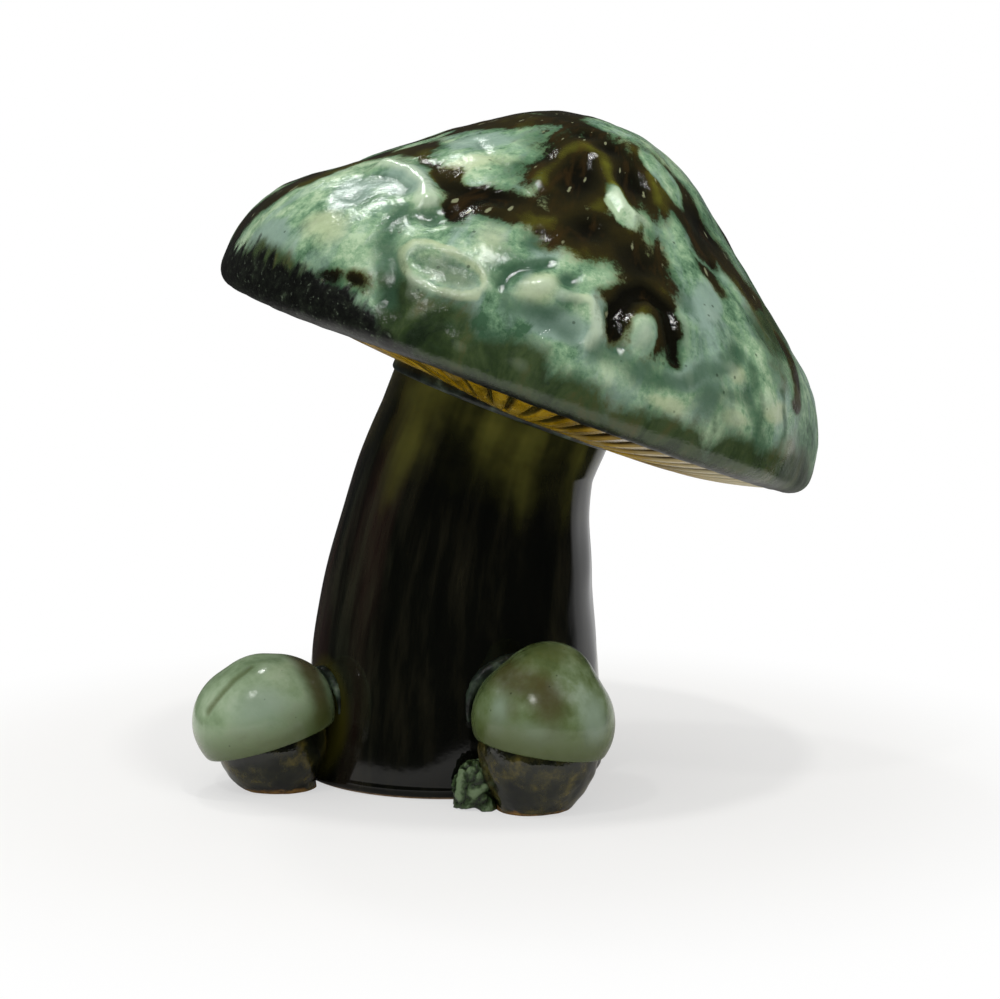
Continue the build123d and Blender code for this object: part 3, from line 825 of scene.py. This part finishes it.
# black-olive glass glaze, thick and almost black, olive where it thinned under the cap, with faint
# brown runs; the foot ring and the inside are bare buff clay
def makeStemGlaze():
    material, tree, read = newMaterial("blackOliveGlassGlaze", ("flow", "run", "bare"), {
        "streak": ("flow", 3.2, 5, 0.6, 0),
        "broad": ("flow", 9, 3, 0.5, 0),
        "grain": ("spot", 1.6, 4, 0.5, 0),
        "cloud": ("spot", 11, 3, 0.5, 0),
    })
    streak, broad, cloud, bare = [read[key] for key in ("streak", "broad", "cloud", "bare")]
    colour = addNode(tree, "ValToRGB", {"Fac": streak}, stops=[
        (0.3, "050604"), (0.5, "0A0B07"), (0.64, "191810"), (0.8, "2C2A1A")])
    # brown runs on the left, and grey streaks there that are partly a painted sheen
    sides = addNode(tree, "SeparateXYZ", {0: read["flow"]}, out="X")
    left = addNode(tree, "MapRange", {0: sides, 1: -0.008, 2: -0.02})
    for source, low, high, tint in ((broad, 0.46, 0.62, "36231E"), (streak, 0.44, 0.66, "2A2D22")):
        share = addNode(tree, "MapRange", {0: source, 1: low, 2: high, 4: 0.8})
        share = addNode(tree, "Math", {0: share, 1: left}, operation="MULTIPLY")
        colour = layTints(tree, colour, [(share, tint)])
    # olive under the cap, less of it on the left, and a thin ring round the left button
    high = addUp(tree, read["run"], (broad, 34.0), (cloud, 16.0))
    thinned = addNode(tree, "MapRange", {0: high, 1: 80.0, 2: 106.0, 4: 0.95}, **soft)
    olive = addUp(tree, 1.0, (left, -0.55))
    olive = addNode(tree, "Math", {0: olive, 1: thinned}, operation="MULTIPLY")
    tint = addNode(tree, "ValToRGB", {"Fac": addUp(tree, broad, (cloud, 0.5))}, stops=[
        (0.58, "1E200E"), (0.72, "313215"), (0.84, "4E4E20"), (0.98, "66662C")])
    joint = addNode(tree, "VectorMath", {0: read["spot"], 1: stemSet["leftButton"]}, out="Value",
                    operation="DISTANCE")
    clay = addNode(tree, "ValToRGB", {"Fac": read["grain"]}, stops=[
        (0.3, "7A5A3A"), (0.5, "9B7A54"), (0.7, "B59670")])
    colour = layTints(tree, colour, [
        (olive, tint), ((joint, 0.0182, 0.0156, 0.45), "4D4A14"), (bare, clay)], **soft)
    rough = addNode(tree, "MapRange", {0: bare, 3: 0.07, 4: 0.85})
    return finishMaterial(material, colour, rough, (read["grain"], 0.02, 0.4), glass=1.45, shine=0.36)


buildStem(stemSet, makeStemGlaze())

# beads of slip that close the joints
beadSet = {
    "inner": 23.6, "width": 0.5, "fall": 0.9, "top": 1.8, "steps": 256,
    "rolls": [(0.22, 6, 0.0), (0.15, 2.2, 4.0)],
}


# slip under a dull teal-grey glaze, wiped with a tool, so it breaks pale on its ridges
def makeBeadGlaze():
    material, tree, read = newMaterial("tealSlipGlaze", patterns={
        "mottle": ("spot", 3, 5, 0.5, 0),
        "grain": ("spot", 0.9, 3, 0.5, 0),
    })
    colour = addNode(tree, "ValToRGB", {"Fac": read["mottle"]}, stops=[
        (0.32, "0B0F0B"), (0.46, "19211A"), (0.58, "2C392D"), (0.74, "5F6E5A")])
    return finishMaterial(material, colour, 0.36, (read["grain"], 0.4, 0.4))


def buildNeckBead(s, material):
    inner, top = s["inner"], s["top"]
    turns = np.linspace(0, 1.5, 9)
    face = [(inner + s["width"] * math.cos(a) ** 1.4, -s["fall"] * math.sin(a)) for a in turns]
    head = [(inner, -s["fall"]), (inner, top), (inner + 0.8 * s["width"], top)]
    bm = spinOutline(face + head, s["steps"], closed=True)
    points, _, radial, _ = measure(bm)
    wobble = np.where(radial > inner + 0.2, rollLayers(points, s["rolls"]), 0)
    points[:, :2] *= (1 + wobble / radial)[:, None]
    moveVerts(bm, [bentPoint(p[0], p[1], seatRun + p[2]) for p in points])
    finishPiece(bm, "neckBead", "cap_joint_bead", material)


beadGlaze = makeBeadGlaze()
buildNeckBead(beadSet, beadGlaze)

# button mushrooms pressed against the stem; marks as on the cap, round each button's own axis
leftCrease = [(50, 14.9), (62, 11.9), (75, 9.0), (99, 6.4)]
buttonSet = {
    "left": {
        "azimuth": 213.0, "standOff": 6.3, "lean": 16.0, "towards": 180.0,
        "rim": 10.6, "foot": 6.0, "ledge": 2.4, "bead": 1.0, "stand": 0.9, "thin": 0.0,
        "radius": 14.3, "height": 16.8, "crown": 12.0, "roll": 11.2, "rollHeight": 4.6,
        "presses": [(143, 4.2, 2.8, 2.0, 30, 0.2), (83, 22, 9.0, 1.3, 0, 0.25)],
        "ridges": [(1.0, -0.3, leftCrease)],
        "brownRuns": [(3.6, 0.9, [(215, 12), (181, 11.2), (160, 14.9), (153, 19.2), (149, 23.5)])],
        "oliveRuns": [(1.2, 0.7, leftCrease)],
        "grey": [(98, 17, 6.5, 5.0, 0, 0.8), (-20, 12, 6, 5, 0, 0.7)],
    },
    "right": {
        "azimuth": 294.0, "standOff": 8.2, "lean": 9.0, "towards": 10.0,
        "rim": 12.4, "foot": 6.5, "ledge": 1.0, "bead": 1.4, "stand": 1.8, "thin": 1.0,
        "radius": 13.8, "height": 19.8, "crown": 10.0, "roll": 11.4, "rollHeight": 4.8,
        "presses": [
            (-131, 16.5, 3.4, 2.4, 20, 0.25),
            (-161, 13.5, 3.0, 1.6, 60, 0.25),
            (-57, 18, 4.0, 3.0, 70, 0.3),
            (-104, 20, 4.0, 3.0, 80, -0.3),
        ],
        "brownRuns": [
            (4.6, 0.7, [(-165, 12.4), (-134, 13.2), (-111, 14.0), (-100, 16.5)]),
            (2.2, 0.4, [(-132, 16.8), (-128, 19.5)]),
        ],
        "olive": [(-125, 5, 6, 4, 0, 0.8)],
        "oliveRuns": [(2.4, 0.5, [(-111, 14), (-95, 18), (-92, 22)])],
        "grey": [(-57, 19, 6, 4.5, 80, 0.9), (-141, 20, 4.5, 3, 80, 0.8), (-104, 22.5, 5, 3, 0, 0.6)],
    },
}
buttonCapSet = {
    "steps": 160, "counts": (22, 14, 34), "socket": (5.2, 5.2),  # radius and depth of the socket
    "edge": [(-0.3, -0.35), (-0.9, -0.4), (-1.8, 0.0)],  # rounded rim, from its widest ring
    "wander": (6, 0.8), "roll": (0.22, 9), "calm": (0.5, 3.5),
}
stalkSet = {
    "belly": 1.5, "tenon": 4.9, "tenonTop": 5.0, "shoulder": 0.1, "sink": 3.0, "rows": 22, "steps": 128,
    "roll": (0.45, 8), "rolls": [(0.15, 2.5, 1.0)],
}
buttonBeadSet = {
    "steps": 110, "ends": (-60.0, 240.0), "search": (3, 22, 0.15), "middle": 6.5, "lowest": 0.4,
    "sunk": 0.15, "taper": 12, "thinEnd": 0.2, "comb": 0.3, "combStep": 2.1, "combSize": 4.0,
}


def buttonPlace(s, rise=0.0):
    side = math.radians(s["azimuth"])
    reach = (stemSet["radii"][0] + s["standOff"]) * mm
    foot = Matrix.Translation((reach * math.cos(side), reach * math.sin(side), 0))
    turn = Matrix.Rotation(math.radians(s["towards"]), 4, "Z")
    lean = Matrix.Rotation(math.radians(s["lean"]), 4, "Y")
    return foot @ turn @ lean @ Matrix.Translation((0, 0, rise * mm))


# pushes points that are inside the stem out to its skin
def clearStem(bm, gap=0.3):
    for v in bm.verts:
        p = straightPoint(v.co / mm)
        wide = math.hypot(p.x, p.y)
        skin = float(stemRadius(max(p.z, 0))) + gap
        if wide < skin:
            v.co = bentPoint(p.x * skin / wide, p.y * skin / wide, p.z) * mm


def buildButtonCap(s, name, node, material):
    b = buttonCapSet
    outside = domeOutline(s, below=s["rollHeight"], counts=b["counts"])
    rim = outside[-1][0]
    hole, depth = b["socket"]
    edge = [(rim + r, z) for r, z in b["edge"]]
    bm = spinOutline(outside + edge + [(hole, 0.0), (hole, depth), (0.0, depth)], b["steps"])
    points, normals, radial, _ = measure(bm)
    loose = wander(points, *b["wander"])
    height = pressHeights(loose, outside, s["presses"], s.get("ridges", ()))
    height += rollLayers(points, [(*b["roll"], s["azimuth"])])
    run = nearestRuns(points, outside)
    whole = outlineRuns(outside)[-1]
    skin = (radial > rim - 0.2) | (points[:, 2] > depth + 0.3)
    calm = smoothStep(*[whole - d for d in b["calm"]], run)
    moveVerts(bm, points + normals * np.where(skin, height * calm, 0)[:, None])
    fields = {key: tintField(loose, outside, s.get(key, ()), s.get(key + "Runs", ()))
              for key in ("brown", "olive", "grey")}
    fields["thin"] = np.full(len(points), s["thin"])
    fields["edge"] = run / whole
    bm.transform(buttonPlace(s, s["rim"]))
    clearStem(bm)
    finishPiece(bm, name, node, material, fields)


def buildButtonStalk(s, name, node, material):
    b = stalkSet
    top = domeOutline(s, below=s["rollHeight"])[-1][0] - s["ledge"]
    share = np.linspace(0, 1, b["rows"])
    side = [(s["foot"] + (top - s["foot"]) * t + 4 * b["belly"] * t * (1 - t), s["rim"] * t) for t in share]
    base = [(0.0, -b["sink"]), (s["foot"] - 0.4, -b["sink"])]
    low, high = s["rim"] + b["shoulder"], s["rim"] + b["tenonTop"]
    head = [(top - 0.5, low), (b["tenon"], low), (b["tenon"], high), (0.0, high)]
    bm = spinOutline(base + side + head, b["steps"])
    points, normals, _, _ = measure(bm)
    wobble = rollLayers(points, [(*b["roll"], s["azimuth"]), *b["rolls"]])
    calm = smoothStep(s["rim"] + 0.05, s["rim"] - 2, points[:, 2])
    moveVerts(bm, points + normals * (wobble * calm)[:, None])
    bm.transform(buttonPlace(s))
    geom = bm.verts[:] + bm.edges[:] + bm.faces[:]
    cut = bmesh.ops.bisect_plane(bm, geom=geom, plane_no=(0, 0, 1), clear_inner=True)["geom_cut"]
    bmesh.ops.holes_fill(bm, edges=[e for e in cut if isinstance(e, bmesh.types.BMEdge)])
    clearStem(bm)
    finishPiece(bm, name, node, material, {"low": vertPoints(bm)[:, 2]})


# bead of slip along the corner between a button's cap and the stem
def buildButtonBead(s, name, node, material):
    b = buttonBeadSet
    place = buttonPlace(s, s["rim"])
    back = place.inverted()
    outside = np.array(domeOutline(s, below=s["rollHeight"], counts=(30, 30, 40)))
    flat = straightPoint(place @ Vector((0, 0, b["middle"] * mm)) / mm)
    out = Vector((flat.x, flat.y, 0)).normalized()
    side, up = Vector((-out.y, out.x, 0)), Vector((0, 0, 1))
    path = []
    for turn in np.radians(np.linspace(*b["ends"], b["steps"])):
        for reach in np.arange(*b["search"]):
            p = flat + side * reach * math.cos(turn) + up * reach * math.sin(turn)
            skin = float(stemRadius(max(p.z, 0))) + b["sunk"] * s["bead"]
            wide = math.hypot(p.x, p.y)
            spot = bentPoint(p.x * skin / wide, p.y * skin / wide, p.z)
            q = back @ (spot * mm) / mm
            edge = np.interp(q.z, outside[::-1, 1], outside[::-1, 0])
            if q.z > s["height"] or math.hypot(q.x, q.y) > edge + s["stand"]:
                if q.z > b["lowest"]:
                    path.append(spot)
                break
    curve = bpy.data.curves.new(name + "Path", "CURVE")
    curve.dimensions = "3D"
    curve.bevel_depth = s["bead"] * mm
    curve.bevel_resolution = 5
    curve.use_fill_caps = True
    spline = curve.splines.new("POLY")
    spline.points.add(len(path) - 1)
    for k, (point, p) in enumerate(zip(spline.points, path)):
        ends = min(min(k, len(path) - 1 - k) / b["taper"], 1.0)
        comb = 1 + b["comb"] * math.sin(k * b["combStep"]) * noise.noise(p / b["combSize"])
        point.co = (*(p * mm), 1.0)
        point.radius = (b["thinEnd"] + (1 - b["thinEnd"]) * ends) * comb
    holder = bpy.data.objects.new(name + "Path", curve)
    bm = bmesh.new()
    bm.from_mesh(bpy.data.meshes.new_from_object(holder))
    bpy.data.objects.remove(holder)
    bpy.data.curves.remove(curve)
    bmesh.ops.remove_doubles(bm, verts=bm.verts, dist=1e-6)
    bmesh.ops.recalc_face_normals(bm, faces=bm.faces)
    finishPiece(bm, name, node, material)


# the cap's jade on small round domes: thinner, so olive shows at the rim and brown where it broke;
# the darker olive low on the rim is partly painted shade
def makeButtonGlaze():
    marks = ("brown", "olive", "grey", "thin", "edge")
    material, tree, read = newMaterial("paleJadeButtonGlaze", marks, {
        "mottle": ("spot", 7, 5, 0.6, 0),
        "grain": ("spot", 1.4, 4, 0.65, 0),
    })
    mottle, grain = read["mottle"], read["grain"]
    dots = addNode(tree, "TexVoronoi", {"Vector": read["spot"], "Scale": markScale(3.2)}, out="Distance")
    colour = addNode(tree, "ValToRGB", {"Fac": mottle}, stops=[
        (0.3, "6B815E"), (0.46, "869C79"), (0.58, "97AB8B"), (0.74, "A9B99C")])
    runny = addNode(tree, "ValToRGB", {"Fac": mottle}, stops=[
        (0.3, "3E4D28"), (0.44, "5F7046"), (0.57, "768863"), (0.7, "92A388")])
    colour = layTints(tree, colour, [(read["thin"], runny)])
    tints = {"grey": (0.3, 1.3, 0.7, "8D9F8D"), "olive": (0.3, 1.3, 0.85, "4F5930"),
             "brown": (0.3, 1.4, 0.9, "46391A")}
    for key, (low, high, most, tint) in tints.items():
        edge = addUp(tree, read[key], (mottle, 0.4), (grain, 0.25))
        colour = layTints(tree, colour, [((edge, low, high, most), tint)], **soft)
    # darker olive towards the lower rim: partly thin glaze, partly painted shade
    rim = addUp(tree, read["edge"], (mottle, 0.35))
    colour = layTints(tree, colour, [((rim, 0.84, 1.16, 0.85), "485228")], **soft)
    colour = layTints(tree, colour, [((dots, 0.08, 0.04, 0.7), "2E3322")])
    return finishMaterial(material, colour, 0.2, (grain, 0.15, 0.4))


# olive-brown glaze that ran thin on the stalks and stopped short of the ground, so bare clay shows below
def makeStalkGlaze():
    material, tree, read = newMaterial("oliveBrownStalkGlaze", ("low",), {
        "mottle": ("spot", 5, 5, 0.6, 0),
        "grain": ("spot", 1.2, 4, 0.5, 0),
    })
    colour = addNode(tree, "ValToRGB", {"Fac": read["mottle"]}, stops=[
        (0.36, "0A0C07"), (0.47, "191B10"), (0.55, "2F2D16"), (0.66, "554C20")])
    clay = addNode(tree, "ValToRGB", {"Fac": read["grain"]}, stops=[
        (0.3, "6B4A24"), (0.5, "8F6A34"), (0.7, "AD8848")])
    edge = addUp(tree, read["low"], (read["mottle"], 3.0))
    bare = addNode(tree, "MapRange", {0: edge, 1: 2.4, 2: 1.7}, **soft)
    colour = layTints(tree, colour, [(bare, clay)])
    rough = addNode(tree, "MapRange", {0: bare, 3: 0.08, 4: 0.7})
    return finishMaterial(material, colour, rough, (read["grain"], 0.2, 0.4))


buttonGlaze = makeButtonGlaze()
stalkGlaze = makeStalkGlaze()
for hand in ("left", "right"):
    buildButtonCap(buttonSet[hand], hand + "ButtonCap", hand + "_button_cap", buttonGlaze)
    buildButtonStalk(buttonSet[hand], hand + "ButtonStalk", hand + "_button_stem", stalkGlaze)
    buildButtonBead(buttonSet[hand], hand + "ButtonBead", hand + "_joint_bead", beadGlaze)

# moss tuft: a rough lump beside the right stalk
mossSet = {
    "place": (6.3, -36.0, 0.0), "half": (5.0, 4.4, 9.0), "steps": 72, "rows": 44, "top": 9.8,
    "blunt": (0.55, 0.9), "hub": 3.0,  # fuller than an egg; its folds point away from the hub
    "folds": [(0.9, 2.4, 6.0), (0.35, 1.1, 1.0)], "foldRise": 1.6, "foldSink": 0.9,
    "bends": [(0.8, 3.6, 2.0)],
}


def buildMoss(s, material):
    side = [(math.cos(a), math.sin(a)) for a in np.linspace(0, math.pi / 2, s["rows"])]
    wide, tall = s["blunt"]
    outline = [(0.0, 0.0)] + [(r ** wide, z ** tall) for r, z in side[:-1]] + [(0.0, 1.0)]
    bm = spinOutline(outline, s["steps"])
    points = vertPoints(bm) * np.array(s["half"])
    rough = sum(height * np.abs(rollNoise(points, size, shift)) for height, size, shift in s["folds"])
    away = points - np.array([0, 0, s["hub"]])
    away /= np.linalg.norm(away, axis=1)[:, None] + 1e-6
    swell = rough * s["foldRise"] - s["foldSink"] + rollLayers(points, s["bends"])
    points = points + away * swell[:, None]
    points[:, 2] = np.clip(points[:, 2], 0, s["top"])
    moveVerts(bm, points + np.array(s["place"]))
    clearStem(bm)
    finishPiece(bm, "mossTuft", "moss_tuft", material, {"fold": rough})


# rough jade moss: pale on the tips of its folds and dark between them, under a wet-looking glaze
def makeMossGlaze():
    material, tree, read = newMaterial("roughJadeMossGlaze", ("fold",), {
        "grain": ("spot", 1.0, 4, 0.7, 0),
    })
    mixed = addUp(tree, read["fold"], (read["grain"], 0.9))
    colour = addNode(tree, "ValToRGB", {"Fac": mixed}, stops=[
        (0.4, "0E150A"), (0.6, "1E2A16"), (0.8, "3A4C2E"), (1.0, "6B7F5C")])
    return finishMaterial(material, colour, 0.18, (read["grain"], 0.6, 0.5))


buildMoss(mossSet, makeMossGlaze())


# 1 for what the camera sees, straight or through something clear, and 0 for the light itself
def seenShare(tree):
    rays = [addNode(tree, "LightPath", out=name) for name in ("Is Camera Ray", "Is Transmission Ray")]
    return addNode(tree, "Math", {0: rays[0], 1: rays[1]}, operation="MAXIMUM")


# room: white to the camera, an even soft grey for the light itself, a white window wall behind on the
# right and a dim room on the other sides for the reflections
roomSet = {
    "below": 0.3, "above": 1.0, "dim": 0.03, "window": 0.72,
    "windowTo": (0.62, 0.78, -0.12), "windowShape": (1, 1, 2.4), "windowEdge": (0.56, 0.44),
}
room = bpy.data.worlds.new("studioRoom")
scene.world = room
room.use_nodes = True
tree = room.node_tree
towards = addNode(tree, "TexCoord", out="Generated")
aside = addNode(tree, "VectorMath", {0: towards, 1: roomSet["windowTo"]}, operation="SUBTRACT")
aside = addNode(tree, "VectorMath", {0: aside, 1: roomSet["windowShape"]}, operation="MULTIPLY")
aside = addNode(tree, "VectorMath", {0: aside}, out="Value", operation="LENGTH")
outside, inside = roomSet["windowEdge"]
window = addNode(tree, "MapRange", {0: aside, 1: outside, 2: inside, 3: roomSet["dim"], 4: roomSet["window"]})
upward = addNode(tree, "SeparateXYZ", {0: towards}, out="Z")
fill = addNode(tree, "MapRange", {0: upward, 1: -1.0, 2: 1.0, 3: roomSet["below"], 4: roomSet["above"]})
isGlossy = addNode(tree, "LightPath", out="Is Glossy Ray")
level = addNode(tree, "Mix", {0: isGlossy, 2: fill, 3: window})
level = addNode(tree, "Mix", {0: seenShare(tree), 2: level, 3: 1.0})
setInputs(tree, tree.nodes["Background"], {"Color": (1, 1, 1, 1), "Strength": level})

# round lamps, all turned to the middle of the piece: place in millimetres, size in metres and power
lampAim = Vector((10, 0, 70))
lampSet = {
    "ceilingLamp": ((60, -120, 520), 0.05, 0.7),
    "frontLamp": ((-170, -300, 430), 0.035, 0.3),
    "backLamp": ((-105, 175, 470), 0.05, 0.3),
}
for name, (place, size, watts) in lampSet.items():
    lamp = bpy.data.lights.new(name, "AREA")
    lamp.shape = "DISK"
    lamp.size = size
    lamp.energy = watts
    lampObject = addObject(name, lamp)
    lampObject.location = Vector(place) * mm
    lampObject.rotation_euler = (lampAim - Vector(place)).to_track_quat("-Z", "Y").to_euler()

# pale paper floor that takes the shadow near the piece and goes over to white further out
floorSet = {"radius": 0.16, "near": 0.085, "far": 0.155, "lift": 0.55}
bm = bmesh.new()
bmesh.ops.create_circle(bm, cap_ends=True, segments=96, radius=floorSet["radius"])
floorMesh = bpy.data.meshes.new("studioFloor")
bm.to_mesh(floorMesh)
bm.free()
floor = addObject("studioFloor", floorMesh)
floorMaterial, tree, read = newMaterial("paleMattPaper")
shader = tree.nodes["Principled BSDF"]
setInputs(tree, shader, {"Base Color": hexColour("DEDDDA"), "Roughness": 0.95, "Specular IOR Level": 0.0})
away = addNode(tree, "VectorMath", {0: read["spot"]}, out="Value", operation="LENGTH")
near, far, lift = floorSet["near"], floorSet["far"], floorSet["lift"]
fade = addNode(tree, "MapRange", {0: away, 1: near, 2: far, 3: lift}, **soft)
share = addNode(tree, "Math", {0: seenShare(tree), 1: fade}, operation="MULTIPLY")
white = addNode(tree, "Emission", {"Strength": 1.0})
mixed = addNode(tree, "MixShader", {0: share, 1: shader.outputs[0], 2: white})
setInputs(tree, tree.nodes["Material Output"], {"Surface": mixed})
floorMesh.materials.append(floorMaterial)
print("room, lamps and floor set")

scene.view_settings.view_transform = "Standard"
